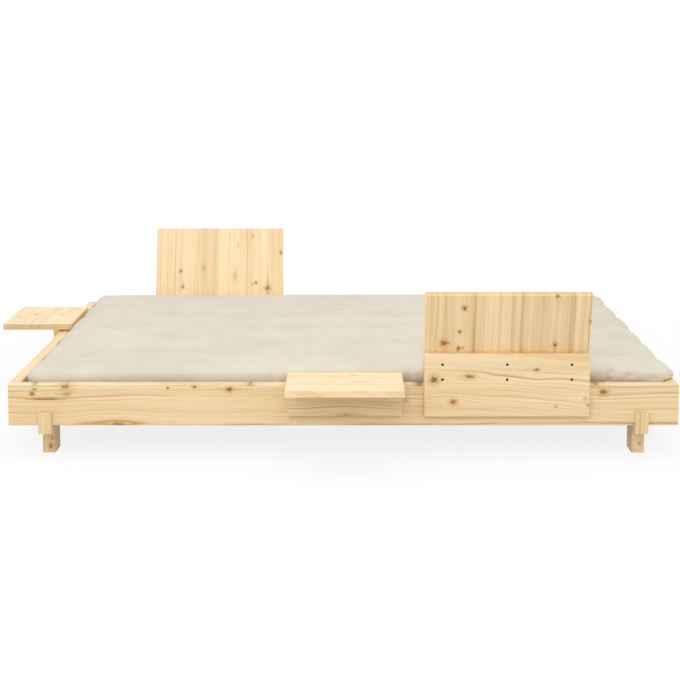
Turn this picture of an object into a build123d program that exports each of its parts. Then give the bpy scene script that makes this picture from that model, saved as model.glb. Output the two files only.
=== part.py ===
"""Low pine sofa bed: a slatted platform with a tufted futon, two slide-on backrests and two side tables.

Millimetres. +X runs along the bed, +Y from its front to its back, +Z up.
The origin is on the floor under the middle of the bed, at the foot of the centre leg.
"""

from build123d import *
from math import cos, radians, sin, tan
import os

os.makedirs("parts", exist_ok=True)

# Rails of the frame
inner_length = 2000
inner_width = 1410
rail_thickness = 34
rail_height = 130
rail_bottom = 98
rail_rounding = 3

# Legs, each a block with a slot that hooks over the long rail from below
leg_width = 39
leg_inset = 81
leg_arm_height = 22
leg_outer_prong = 20
leg_outer_prong_rise = 45
leg_inner_prong_rise = 20
leg_post_setback = 44
leg_post_depth = 82
leg_rounding = 2

# Ledgers, centre beam and slats
ledger_width = 30
ledger_height = 20
ledger_end_gap = 2
beam_width = 60
beam_height = 40
beam_end_gap = 3
centre_leg_size = 60
centre_dowel_diameter = 12
centre_dowel_length = 50
slat_count = 14
slat_width = 70
slat_thickness = 18
slat_end_gap = 3
slat_edge_margin = 55
strap_width = 25
strap_thickness = 1.5
strap_spacing = 700

# Steel corner brackets and beam hangers
bracket_leg = 50
bracket_height = 34
bracket_thickness = 3
bracket_lift = 6
bracket_screw_places = (18, 38)
hanger_thickness = 2
hanger_depth = 40
hanger_wall = 30
hanger_flange = 18
hanger_fit = 0.3

# Fasteners
screw_diameter = 4
screw_fit = 0.2
head_diameter = 8
head_height = 3
frame_screw_length = 50
leg_screw_length = 50
bracket_screw_length = 20
backrest_screw_length = 45
ledger_screw_count = 6
ledger_screw_pitch = 320
socket_radius = 2
socket_depth = 1.6
dowel_fit = 0.1

# Backrests
backrest_width = 508
panel_thickness = 24.5
panel_lean = 18
panel_rise = 287
panel_drop = 20
board_thickness = 22
board_bottom_rise = 33
board_top_rise = 99
wedge_top_gap = 3
backrest_screw_pitch = 198
backrest_screw_rises = (19, 66)
backrest_leg_gap = 144
panel_rounding = 2.5

# Side tables
table_length = 355
table_reach = 205
table_thickness = 22
table_gap = 6
apron_length = 350
apron_thickness = 22
apron_bottom_rise = 35
cleat_thickness = 9
cleat_height = 50
spacer_length = 100
spacer_width = 26
spacer_pitch = 220
table_dowel_diameter = 8
table_dowel_length = 30
cleat_dowel_diameter = 5
cleat_dowel_length = 24
table_dowel_pitch = 140
table_dowel_count = 3
table_rounding = 2.5
module_gap = 66
table_corner_gap = 242

# Running clearance of everything that slides on a rail
slide_fit = 0.5

# Futon mattress
mattress_height = 117
mattress_lift = 0.5
mattress_side_gap = 4
mattress_end_gap = 2
mattress_corner = 70
mattress_draw_in = 9
mattress_foot_round = 16
mattress_end_taper = 8
mattress_shoulder = 46
mattress_crown = 6
mattress_crown_inset = 284
mattress_widest_rise = 90
round_steps = 4
crown_steps = 3
tuft_columns = 5
tuft_rows = 5
tuft_end_margin = 174
tuft_side_margin = 192
tuft_shift = 23
tuft_dimple_radius = 95
tuft_dimple_depth = 11
tuft_radius = 8
tuft_height = 5
tuft_seat_depth = 2
tuft_fit = 0.2

# Levels and places that follow from those sizes
half_length = inner_length / 2 + rail_thickness
half_width = inner_width / 2 + rail_thickness
rail_top = rail_bottom + rail_height
ledger_bottom = rail_bottom + leg_inner_prong_rise
ledger_top = ledger_bottom + ledger_height
beam_bottom = ledger_top - beam_height
slat_top = ledger_top + slat_thickness
mattress_bottom = slat_top + strap_thickness + mattress_lift
mattress_top = mattress_bottom + mattress_height
mattress_widest = mattress_bottom + mattress_widest_rise
leg_centre = inner_length / 2 - leg_inset
leg_face = leg_centre - leg_width / 2
bracket_bottom = ledger_top + bracket_lift
lean = radians(panel_lean)


def rail_section(side, along):
    """A plane across a rail: local x runs inward from its outer face, local y up, z along the rail."""
    if side == "left":
        return Plane(origin=(-half_length, along, 0), x_dir=(1, 0, 0), z_dir=(0, -1, 0))
    if side == "right":
        return Plane(origin=(half_length, along, 0), x_dir=(-1, 0, 0), z_dir=(0, 1, 0))
    if side == "back":
        return Plane(origin=(along, half_width, 0), x_dir=(0, -1, 0), z_dir=(-1, 0, 0))
    return Plane(origin=(along, -half_width, 0), x_dir=(0, 1, 0), z_dir=(1, 0, 0))


def facing_out(section, inward, height, along):
    """A plane at a point of a rail section that looks away from the bed."""
    origin = section.from_local_coords(Vector(inward, height, along))
    return Plane(origin=origin, x_dir=section.z_dir, z_dir=section.x_dir * -1)


def facing_in(section, inward, height, along):
    """A plane at a point of a rail section that looks towards the middle of the bed."""
    origin = section.from_local_coords(Vector(inward, height, along))
    return Plane(origin=origin, x_dir=section.z_dir, z_dir=section.x_dir)


def facing_down(section, inward, height, along):
    """A plane at a point of a rail section that looks at the floor."""
    origin = section.from_local_coords(Vector(inward, height, along))
    return Plane(origin=origin, x_dir=(1, 0, 0), z_dir=(0, 0, -1))


def facing_up(section, inward, height, along):
    """A plane at a point of a rail section that looks up."""
    origin = section.from_local_coords(Vector(inward, height, along))
    return Plane(origin=origin, x_dir=(1, 0, 0), z_dir=(0, 0, 1))


def save(piece, name):
    """Label a finished piece and write its file."""
    piece.part.label = name
    export_step(piece.part, f"parts/{name}.step")


def block(section, inward, heights, length):
    """Extrude a rectangle of a rail section by equal lengths both ways along the rail."""
    with BuildSketch(section) as profile:
        with Locations(((inward[0] + inward[1]) / 2, (heights[0] + heights[1]) / 2)):
            Rectangle(inward[1] - inward[0], heights[1] - heights[0])
    extrude(profile.sketch, amount=length / 2, both=True)


def drill(seats, depth):
    """Pilot holes that start at the seats and take the screws' shanks."""
    with Locations(*seats):
        Hole(screw_diameter / 2 + screw_fit, depth=depth)


def counterbore(seats, depth):
    """Holes with a recess that sinks the screws' heads flush."""
    with Locations(*seats):
        head_radius = head_diameter / 2 + screw_fit
        CounterBoreHole(screw_diameter / 2 + screw_fit, head_radius, head_height, depth)


def screw_group(name, groups):
    """Screws of one node: each group has its seats, its length and how deep its heads are sunk."""
    hanging = (Align.CENTER, Align.CENTER, Align.MAX)
    with BuildPart() as screws:
        for seats, length, sink in groups:
            with Locations(*[seat.offset(head_height - sink) for seat in seats]):
                Cylinder(head_diameter / 2, head_height, align=hanging)
                Cylinder(screw_diameter / 2, head_height + length - sink, align=hanging)
            with Locations(*[seat.offset(head_height - sink) for seat in seats]):
                Cylinder(socket_radius, socket_depth, align=hanging, mode=Mode.SUBTRACT)
    save(screws, name)


# The ledger screws' places along each long rail
ledger_screw_places = [
    (index - (ledger_screw_count - 1) / 2) * ledger_screw_pitch for index in range(ledger_screw_count)
]


def ledger_seats(side):
    """Screws through a ledger into its rail."""
    section = rail_section(side, 0)
    height = ledger_bottom + ledger_height / 2
    inner_face = rail_thickness + ledger_width
    return [facing_in(section, inner_face, height, along) for along in ledger_screw_places]


def leg_seats(side, along):
    """The screw up through a leg's arm into the rail."""
    section = rail_section(side, along)
    return [facing_down(section, rail_thickness / 2, rail_bottom - leg_arm_height, 0)]


def bracket_seats(side):
    """Screws through the corner brackets into one rail."""
    section = rail_section(side, 0)
    long_rail = side in ("front", "back")
    corner = (inner_length if long_rail else inner_width) / 2
    height = bracket_bottom + bracket_height / 2
    inner_face = rail_thickness + bracket_thickness
    places = [end * (corner - place) for end in (-1, 1) for place in bracket_screw_places]
    return [facing_in(section, inner_face, height, along) for along in places]


def hanger_seats(side):
    """Screws through a beam hanger's flanges into an end rail."""
    section = rail_section(side, 0)
    inner_face = rail_thickness + hanger_thickness
    reach = beam_width / 2 + hanger_fit + hanger_thickness + hanger_flange / 2
    heights = (beam_bottom + beam_height / 4, beam_bottom + beam_height * 3 / 4)
    return [facing_in(section, inner_face, height, end * reach) for height in heights for end in (-1, 1)]


def make_long_rail(side):
    """A front or back rail, drilled for its legs, ledger and brackets."""
    with BuildPart() as rail:
        block(rail_section(side, 0), (0, rail_thickness), (rail_bottom, rail_top), 2 * half_length)
        fillet(rail.edges().filter_by(Axis.X), rail_rounding)
        drill(ledger_seats(side), frame_screw_length)
        drill(bracket_seats(side), bracket_screw_length)
        for end in (-1, 1):
            drill(leg_seats(side, end * leg_centre), leg_screw_length)
    save(rail, f"{side}_rail")


def make_end_rail(side):
    """An end rail between the long rails, drilled for its brackets and beam hanger."""
    with BuildPart() as rail:
        block(rail_section(side, 0), (0, rail_thickness), (rail_bottom, rail_top), inner_width)
        fillet(rail.edges().filter_by(Axis.Y), rail_rounding)
        drill(bracket_seats(side), bracket_screw_length)
        drill(hanger_seats(side), bracket_screw_length)
    save(rail, f"{side}_end_rail")


def make_leg(side, end, name):
    """A notched leg: prongs each side of the rail, an arm under it and a post behind it."""
    section = rail_section(side, end * leg_centre)
    arm_bottom = rail_bottom - leg_arm_height
    outer_top = rail_bottom + leg_outer_prong_rise
    inner_top = rail_bottom + leg_inner_prong_rise
    back = leg_post_setback + leg_post_depth
    with BuildPart() as leg:
        with BuildSketch(section):
            with BuildLine():
                Polyline(
                    (leg_post_setback, 0),
                    (back, 0),
                    (back, inner_top),
                    (rail_thickness, inner_top),
                    (rail_thickness, rail_bottom),
                    (0, rail_bottom),
                    (0, outer_top),
                    (-leg_outer_prong, outer_top),
                    (-leg_outer_prong, arm_bottom),
                    (leg_post_setback, arm_bottom),
                    close=True,
                )
            make_face()
        extrude(amount=leg_width / 2, both=True)
        cheeks = leg.faces().filter_by(Axis.X)
        outer_edges = cheeks.edges().filter_by(Axis.Z)
        chamfer(outer_edges, leg_rounding)
        counterbore(leg_seats(side, end * leg_centre), leg_arm_height + 1)
    save(leg, name)


def make_ledger(side):
    """A batten along the inside of a long rail that carries the slats."""
    inner_face = rail_thickness + ledger_width
    with BuildPart() as ledger:
        length = inner_length - 2 * ledger_end_gap
        block(rail_section(side, 0), (rail_thickness, inner_face), (ledger_bottom, ledger_top), length)
        counterbore(ledger_seats(side), ledger_width + 1)
    save(ledger, f"{side}_ledger")


def make_bracket(side, end, name):
    """An angle bracket inside one corner of the frame."""
    side_sign = -1 if side == "front" else 1
    corner = (end * inner_length / 2, side_sign * inner_width / 2)
    with BuildPart() as bracket:
        with BuildSketch(Plane.XY.offset(bracket_bottom)):
            with Locations(corner):
                across = (Align.MAX if end > 0 else Align.MIN, Align.MAX if side_sign > 0 else Align.MIN)
                Rectangle(bracket_leg, bracket_thickness, align=across)
                Rectangle(bracket_thickness, bracket_leg, align=across)
        extrude(amount=bracket_height)
        for rail_side in (side, "left" if end < 0 else "right"):
            drill(bracket_seats(rail_side), bracket_thickness + 1)
    save(bracket, name)


def make_hanger(side):
    """A folded steel hanger that holds one end of the centre beam."""
    section = rail_section(side, 0)
    face = rail_thickness
    inside = beam_width / 2 + hanger_fit
    outside = inside + hanger_thickness
    depth = (face, face + hanger_depth)
    floor_top = beam_bottom
    floor_bottom = floor_top - hanger_thickness
    with BuildPart() as hanger:
        block(section, depth, (floor_bottom, floor_top), 2 * outside)
        for end in (-1, 1):
            wall = rail_section(side, end * (inside + outside) / 2)
            block(wall, depth, (floor_bottom, floor_top + hanger_wall), hanger_thickness)
            flange = rail_section(side, end * (outside + hanger_flange / 2))
            flange_top = floor_top + beam_height
            block(flange, (face, face + hanger_thickness), (floor_top, flange_top), hanger_flange)
        drill(hanger_seats(side), hanger_thickness + 1)
    save(hanger, f"{side}_beam_hanger")


def make_centre_beam():
    """The beam under the middle of the slats, with a blind hole for the leg's dowel."""
    with BuildPart() as beam:
        section = rail_section("left", 0)
        ends = (rail_thickness + beam_end_gap, rail_thickness + inner_length - beam_end_gap)
        block(section, ends, (beam_bottom, ledger_top), beam_width)
        with Locations(facing_down(section, half_length, beam_bottom, 0)):
            Hole(centre_dowel_diameter / 2 + dowel_fit, depth=centre_dowel_length / 2)
    save(beam, "centre_beam")


def make_centre_leg():
    """The post that carries the middle of the beam."""
    with BuildPart() as leg:
        with BuildSketch(Plane.XY):
            Rectangle(centre_leg_size, centre_leg_size)
        extrude(amount=beam_bottom)
        chamfer(leg.edges().filter_by(Axis.Z), leg_rounding)
        with Locations(Plane.XY.offset(beam_bottom)):
            Hole(centre_dowel_diameter / 2 + dowel_fit, depth=centre_dowel_length / 2)
    save(leg, "centre_leg")
    with BuildPart() as dowel:
        with BuildSketch(Plane.XY.offset(beam_bottom - centre_dowel_length / 2)):
            Circle(centre_dowel_diameter / 2)
        extrude(amount=centre_dowel_length)
    save(dowel, "centre_leg_dowel")


def make_slats():
    """Loose slats across the ledgers and beam, and the two straps that keep them apart."""
    first = -inner_length / 2 + slat_edge_margin + slat_width / 2
    pitch = -2 * first / (slat_count - 1)
    for index in range(slat_count):
        section = rail_section("front", first + index * pitch)
        with BuildPart() as slat:
            ends = (rail_thickness + slat_end_gap, rail_thickness + inner_width - slat_end_gap)
            block(section, ends, (ledger_top, slat_top), slat_width)
            fillet(slat.edges().filter_by(Axis.Y), rail_rounding)
        save(slat, f"slat_{index + 1:02d}")
    reach = -first + slat_width / 2
    for label, place in (("front_slat_strap", -strap_spacing / 2), ("back_slat_strap", strap_spacing / 2)):
        with BuildPart() as strap:
            with BuildSketch(Plane.XY.offset(slat_top)):
                with Locations((0, place)):
                    Rectangle(2 * reach, strap_width)
            extrude(amount=strap_thickness)
        save(strap, label)


def panel_outer(height):
    """How far inward a backrest panel's outer face lies at a height."""
    return rail_thickness + slide_fit - (height - rail_top) * tan(lean)


def panel_inner(height):
    """How far inward a backrest panel's inner face lies at a height."""
    return panel_outer(height) + panel_thickness / cos(lean)


def backrest_seats(section):
    """Screws through the board's outer face."""
    face = -slide_fit - board_thickness
    places = [index * backrest_screw_pitch for index in (-1, 0, 1)]
    rises = backrest_screw_rises
    return [facing_out(section, face, rail_top + rise, along) for rise in rises for along in places]


def make_backrest(side, along):
    """A leaning panel, the board outside the rail and the wedge that joins them and rides on the rail."""
    section = rail_section(side, along)
    bottom = rail_top - panel_drop
    top = rail_top + panel_rise
    seats = backrest_seats(section)
    with BuildPart() as panel:
        with BuildSketch(section):
            with BuildLine():
                low = Vector(panel_outer(bottom), bottom)
                high = Vector(panel_outer(top), top)
                across = Vector(panel_thickness * cos(lean), panel_thickness * sin(lean))
                Polyline(low, high, high + across, low + across, close=True)
            make_face()
        extrude(amount=backrest_width / 2, both=True)
        fillet(panel.edges(), panel_rounding)
        drill(seats, backrest_screw_length + 1)
    save(panel, f"{side}_backrest_panel")

    board = (-slide_fit - board_thickness, -slide_fit)
    board_top = rail_top + board_top_rise
    with BuildPart() as outer_board:
        block(section, board, (rail_bottom + board_bottom_rise, board_top), backrest_width)
        fillet(outer_board.edges(), panel_rounding)
        counterbore(seats, board_thickness + 1)
    save(outer_board, f"{side}_backrest_board")

    wedge_top = board_top - wedge_top_gap
    with BuildPart() as wedge:
        with BuildSketch(section):
            with BuildLine():
                Polyline(
                    (-slide_fit, rail_top),
                    (panel_outer(rail_top), rail_top),
                    (panel_outer(wedge_top), wedge_top),
                    (-slide_fit, wedge_top),
                    close=True,
                )
            make_face()
        extrude(amount=backrest_width / 2, both=True)
        drill(seats, backrest_screw_length + 1)
    save(wedge, f"{side}_backrest_wedge")
    screw_group(f"{side}_backrest_screws", [(seats, backrest_screw_length, head_height)])


def make_table(side, along):
    """A side table: top, apron outside the rail, cleat inside it, spacers on it and hidden dowels."""
    section = rail_section(side, along)
    underside = rail_top + table_gap
    surface = underside + table_thickness
    apron = (-slide_fit - apron_thickness, -slide_fit)
    cleat = (rail_thickness + slide_fit, rail_thickness + slide_fit + cleat_thickness)
    middle = (table_dowel_count - 1) / 2
    places = [(index - middle) * table_dowel_pitch for index in range(table_dowel_count)]
    apron_joint = [facing_up(section, sum(apron) / 2, underside, place) for place in places]
    cleat_joint = [facing_up(section, sum(cleat) / 2, underside, place) for place in places]
    joints = (
        (apron_joint, table_dowel_diameter, table_dowel_length / 2),
        (cleat_joint, cleat_dowel_diameter, cleat_dowel_length / 2),
    )

    with BuildPart() as top:
        block(section, (-table_reach, cleat[1]), (underside, surface), table_length)
        fillet(top.edges(), table_rounding)
        for seats, diameter, depth in joints:
            with Locations(*seats):
                Hole(diameter / 2 + dowel_fit, depth=depth)
    save(top, f"{side}_table_top")

    with BuildPart() as front_apron:
        block(section, apron, (rail_bottom + apron_bottom_rise, underside), apron_length)
        fillet(front_apron.edges().group_by(Axis.Z)[0], table_rounding)
        with Locations(*apron_joint):
            Hole(table_dowel_diameter / 2 + dowel_fit, depth=table_dowel_length / 2)
    save(front_apron, f"{side}_table_apron")

    with BuildPart() as inner_cleat:
        block(section, cleat, (underside - cleat_height, underside), apron_length)
        with Locations(*cleat_joint):
            Hole(cleat_dowel_diameter / 2 + dowel_fit, depth=cleat_dowel_length / 2)
    save(inner_cleat, f"{side}_table_cleat")

    with BuildPart() as spacers:
        for end in (-1, 1):
            place = section.offset(end * spacer_pitch / 2)
            strip = ((rail_thickness - spacer_width) / 2, (rail_thickness + spacer_width) / 2)
            block(place, strip, (rail_top, underside), spacer_length)
    save(spacers, f"{side}_table_spacers")

    with BuildPart() as dowels:
        for seats, diameter, depth in joints:
            for seat in seats:
                with BuildSketch(seat):
                    Circle(diameter / 2)
                extrude(amount=depth, both=True)
    save(dowels, f"{side}_table_dowels")


# The futon's ends and widest sides keep clear of every backrest and table along its slide
mattress_left = -inner_length / 2 + slide_fit + cleat_thickness + mattress_side_gap
mattress_right = inner_length / 2 - mattress_end_gap
mattress_centre = (mattress_left + mattress_right) / 2
mattress_half_length = (mattress_right - mattress_left) / 2


def mattress_half_width(height):
    """Half the futon's width at a height: its sides run up parallel to the leaning panels."""
    cleat_face = rail_thickness + slide_fit + cleat_thickness
    return half_width - max(panel_inner(height), cleat_face) - mattress_side_gap


def mattress_outline(half_x, half_y):
    """An outline with rounded corners whose sides pull in between them."""
    corner = mattress_corner
    bend = corner * (1 - cos(radians(45)))
    left = mattress_centre - half_x
    right = mattress_centre + half_x
    middle = mattress_centre
    pull = mattress_draw_in
    with BuildLine() as outline:
        ThreePointArc((left + corner, half_y), (middle, half_y - pull), (right - corner, half_y))
        ThreePointArc((right - corner, half_y), (right - bend, half_y - bend), (right, half_y - corner))
        ThreePointArc((right, half_y - corner), (right - pull, 0), (right, -half_y + corner))
        ThreePointArc((right, -half_y + corner), (right - bend, -half_y + bend), (right - corner, -half_y))
        ThreePointArc((right - corner, -half_y), (middle, -half_y + pull), (left + corner, -half_y))
        ThreePointArc((left + corner, -half_y), (left + bend, -half_y + bend), (left, -half_y + corner))
        ThreePointArc((left, -half_y + corner), (left + pull, 0), (left, half_y - corner))
        ThreePointArc((left, half_y - corner), (left + bend, half_y - bend), (left + corner, half_y))
    make_face(outline.edges())


def tuft_places():
    """Staggered tufts: the odd rows hold one more than the even rows between them."""
    half_x = mattress_half_length - tuft_end_margin
    half_y = mattress_half_width(mattress_widest) - tuft_side_margin
    pitch_x = 2 * half_x / (tuft_columns - 1)
    pitch_y = 2 * half_y / (tuft_rows - 1)
    places = []
    for row in range(tuft_rows):
        short = row % 2
        for column in range(tuft_columns - short):
            along = mattress_centre + tuft_shift - half_x + (column + short / 2) * pitch_x
            places.append((along, -half_y + row * pitch_y))
    return places


def quarter_round(inset, rise, steps, from_side):
    """Points of a quarter ellipse between a flat face and a side, as insets and rises."""
    turns = [radians(90 * step / steps) for step in range(steps + 1)]
    if from_side:
        return [(inset * (1 - cos(turn)), rise * sin(turn)) for turn in turns]
    return [(inset * (1 - sin(turn)), rise * (1 - cos(turn))) for turn in turns]


def mattress_levels():
    """The futon's levels from its foot to its crown, each with the half sizes of its outline."""
    levels = []
    foot_y = mattress_half_width(mattress_bottom + mattress_foot_round)
    for inset, rise in quarter_round(mattress_foot_round, mattress_foot_round, round_steps, False):
        levels.append((mattress_bottom + rise, foot_y - inset, inset + mattress_end_taper))
    widest_y = mattress_half_width(mattress_widest)
    shoulder = mattress_top - mattress_crown - mattress_widest
    for inset, rise in quarter_round(mattress_shoulder, shoulder, round_steps, True):
        levels.append((mattress_widest + rise, widest_y - inset, inset))
    for step in range(1, crown_steps + 1):
        share = step / crown_steps
        inset = mattress_shoulder + share * mattress_crown_inset
        height = mattress_top - mattress_crown * (1 - share) ** 2
        levels.append((height, widest_y - inset, inset))
    return levels


def make_mattress():
    """The crowned futon, narrow at its foot, widest over the rails, with sewn dimples on top."""
    floor = mattress_top - tuft_dimple_depth
    bottom_up = (Align.CENTER, Align.CENTER, Align.MIN)
    with BuildPart() as mattress:
        for height, half_y, end_inset in mattress_levels():
            with BuildSketch(Plane.XY.offset(height)):
                mattress_outline(mattress_half_length - end_inset, half_y)
        loft(ruled=True)
        with Locations(*[(x, y, floor + tuft_dimple_radius) for x, y in tuft_places()]):
            Sphere(tuft_dimple_radius, mode=Mode.SUBTRACT)
        with Locations(*[(x, y, floor - tuft_seat_depth) for x, y in tuft_places()]):
            Cylinder(tuft_radius + tuft_fit, tuft_dimple_depth, align=bottom_up, mode=Mode.SUBTRACT)
    save(mattress, "futon_mattress")

    with BuildPart() as tufts:
        for x, y in tuft_places():
            with BuildSketch(Plane.XY.offset(floor - tuft_seat_depth)):
                with Locations((x, y)):
                    Circle(tuft_radius)
            extrude(amount=tuft_height)
        fillet(tufts.faces().group_by(Axis.Z)[-1].edges(), tuft_height / 2)
    save(tufts, "mattress_tufts")


# The frame
for side in ("front", "back"):
    make_long_rail(side)
    make_ledger(side)
    for end, end_name in ((-1, "left"), (1, "right")):
        make_leg(side, end, f"{side}_{end_name}_leg")
        make_bracket(side, end, f"{side}_{end_name}_bracket")
for side in ("left", "right"):
    make_end_rail(side)
    make_hanger(side)
make_centre_beam()
make_centre_leg()
make_slats()

leg_screw_seats = [
    seat for side in ("front", "back") for end in (-1, 1) for seat in leg_seats(side, end * leg_centre)
]
ledger_screw_seats = [seat for side in ("front", "back") for seat in ledger_seats(side)]
bracket_screw_seats = [seat for side in ("front", "back", "left", "right") for seat in bracket_seats(side)]
hanger_screw_seats = [seat for side in ("left", "right") for seat in hanger_seats(side)]
screw_group(
    "frame_screws",
    [
        (leg_screw_seats, leg_screw_length, head_height),
        (ledger_screw_seats, frame_screw_length, head_height),
    ],
)
screw_group("bracket_screws", [(bracket_screw_seats + hanger_screw_seats, bracket_screw_length, 0)])

# The sliding backrests and tables
front_backrest_place = leg_face - backrest_leg_gap - backrest_width / 2
front_table_place = front_backrest_place - backrest_width / 2 - module_gap - table_length / 2
make_backrest("front", front_backrest_place)
make_backrest("back", -front_backrest_place)
make_table("front", front_table_place)
make_table("left", inner_width / 2 - table_corner_gap - table_length / 2)

make_mattress()
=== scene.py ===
import math

import bpy
import numpy as np
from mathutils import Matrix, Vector


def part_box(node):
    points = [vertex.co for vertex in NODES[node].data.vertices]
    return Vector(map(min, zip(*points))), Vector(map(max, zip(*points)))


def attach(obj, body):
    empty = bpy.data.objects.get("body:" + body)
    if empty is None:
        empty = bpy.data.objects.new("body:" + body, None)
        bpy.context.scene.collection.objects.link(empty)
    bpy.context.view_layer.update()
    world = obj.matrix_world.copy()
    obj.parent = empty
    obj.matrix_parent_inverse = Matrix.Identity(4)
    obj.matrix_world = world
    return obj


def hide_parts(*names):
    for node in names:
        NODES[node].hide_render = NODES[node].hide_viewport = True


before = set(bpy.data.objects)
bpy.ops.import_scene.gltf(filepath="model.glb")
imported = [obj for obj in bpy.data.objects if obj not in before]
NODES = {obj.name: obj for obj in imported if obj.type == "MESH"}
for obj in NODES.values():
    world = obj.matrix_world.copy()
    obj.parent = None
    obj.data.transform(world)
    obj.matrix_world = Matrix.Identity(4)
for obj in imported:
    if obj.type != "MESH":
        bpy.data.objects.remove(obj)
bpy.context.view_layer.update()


# Small helpers that build node trees
class Graph:
    """Builds one material's nodes from short calls; every value may be a number or a socket."""

    def __init__(self, name):
        self.material = bpy.data.materials.new(name)
        self.material.use_nodes = True
        self.tree = self.material.node_tree
        self.shader = self.tree.nodes["Principled BSDF"]
        self.point = self.add("ShaderNodeTexCoord").outputs["Object"]

    def add(self, kind, **settings):
        node = self.tree.nodes.new(kind)
        for key, value in settings.items():
            setattr(node, key, value)
        return node

    def feed(self, socket, value):
        if isinstance(value, bpy.types.NodeSocket):
            self.tree.links.new(value, socket)
        else:
            socket.default_value = value

    def math(self, operation, a, b=None, c=None, clamp=False):
        node = self.add("ShaderNodeMath", operation=operation, use_clamp=clamp)
        for socket, value in zip(node.inputs, (a, b, c)):
            if value is not None:
                self.feed(socket, value)
        return node.outputs[0]

    def plus(self, a, b):
        return self.math("ADD", a, b)

    def minus(self, a, b):
        return self.math("SUBTRACT", a, b)

    def times(self, a, b):
        return self.math("MULTIPLY", a, b)

    def over(self, a, b):
        return self.math("DIVIDE", a, b)

    def power(self, a, b):
        return self.math("POWER", a, b)

    def least(self, a, b):
        return self.math("MINIMUM", a, b)

    def most(self, a, b):
        return self.math("MAXIMUM", a, b)

    def size(self, a, b):
        return self.math("SQRT", self.plus(self.times(a, a), self.times(b, b)))

    def dot(self, vector, direction):
        node = self.add("ShaderNodeVectorMath", operation="DOT_PRODUCT")
        self.feed(node.inputs[0], vector)
        self.feed(node.inputs[1], direction)
        return node.outputs["Value"]

    def shift(self, vector, offset):
        node = self.add("ShaderNodeVectorMath", operation="SUBTRACT")
        self.feed(node.inputs[0], vector)
        self.feed(node.inputs[1], offset)
        return node.outputs[0]

    def join(self, x, y, z):
        node = self.add("ShaderNodeCombineXYZ")
        for socket, value in zip(node.inputs, (x, y, z)):
            self.feed(socket, value)
        return node.outputs[0]

    def noise(self, vector, scale, detail=2.0, roughness=0.5, distortion=0.0):
        node = self.add("ShaderNodeTexNoise")
        self.feed(node.inputs["Vector"], vector)
        node.inputs["Scale"].default_value = scale
        node.inputs["Detail"].default_value = detail
        node.inputs["Roughness"].default_value = roughness
        node.inputs["Distortion"].default_value = distortion
        return node.outputs["Fac"]

    def white(self, value):
        node = self.add("ShaderNodeTexWhiteNoise", noise_dimensions="1D")
        self.feed(node.inputs["W"], value)
        return node.outputs["Value"]

    def ramp(self, value, stops, interpolation="LINEAR"):
        node = self.add("ShaderNodeValToRGB")
        node.color_ramp.interpolation = interpolation
        elements = node.color_ramp.elements
        while len(elements) < len(stops):
            elements.new(0.5)
        for element, (place, colour) in zip(elements, stops):
            element.position = place
            element.color = colour if len(colour) == 4 else (*colour, 1.0)
        self.feed(node.inputs[0], value)
        return node.outputs[0]

    def smooth(self, value, low, high, out_low=0.0, out_high=1.0):
        node = self.add("ShaderNodeMapRange", interpolation_type="SMOOTHSTEP")
        for socket, number in zip(node.inputs, (value, low, high, out_low, out_high)):
            self.feed(socket, number)
        return node.outputs[0]

    def mix(self, factor, a, b, blend="MIX"):
        node = self.add("ShaderNodeMix", data_type="RGBA", blend_type=blend)
        self.feed(node.inputs[0], factor)
        self.feed(node.inputs[6], a)
        self.feed(node.inputs[7], b)
        return node.outputs[2]

    def bump(self, height, strength, distance, normal=None):
        node = self.add("ShaderNodeBump")
        node.inputs["Strength"].default_value = strength
        node.inputs["Distance"].default_value = distance
        self.feed(node.inputs["Height"], height)
        if normal is not None:
            self.feed(node.inputs["Normal"], normal)
        return node.outputs[0]

    def finish(self, colour, roughness, normal=None, **constants):
        self.feed(self.shader.inputs["Base Color"], colour)
        self.feed(self.shader.inputs["Roughness"], roughness)
        if normal is not None:
            self.feed(self.shader.inputs["Normal"], normal)
        for key, value in constants.items():
            self.shader.inputs[key.replace("_", " ")].default_value = value
        return self.material


def linear(red, green, blue):
    """A colour written in 0-255 display values, as the shader wants it."""
    values = []
    for channel in (red, green, blue):
        share = channel / 255
        values.append(share / 12.92 if share <= 0.04045 else ((share + 0.055) / 1.055) ** 2.4)
    return (*values, 1.0)


# Pine
EARLY_WOOD = linear(250, 227, 187)
MID_WOOD = linear(242, 211, 161)
LATE_WOOD = linear(205, 162, 102)
KNOT_EDGE = linear(206, 156, 86)
KNOT_HEART = linear(124, 78, 30)
AXES = {"x": (1, 0, 0), "y": (0, 1, 0), "z": (0, 0, 1)}
AXIS_INDEX = {"x": 0, "y": 1, "z": 2}


class Knot:
    """One knot: its place along and across the grain, its radius and stretch, how dark it is, how far and
    how hard it bends the fibre round it, and the length of its tail."""

    def __init__(self, along, across, radius, stretch=1.3, dark=0.8, reach=4.0, push=1.2, tail=0.0):
        self.along = along
        self.across = across
        self.radius = radius
        self.stretch = stretch
        self.dark = dark
        self.reach = reach
        self.push = push
        self.tail = tail


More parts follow.
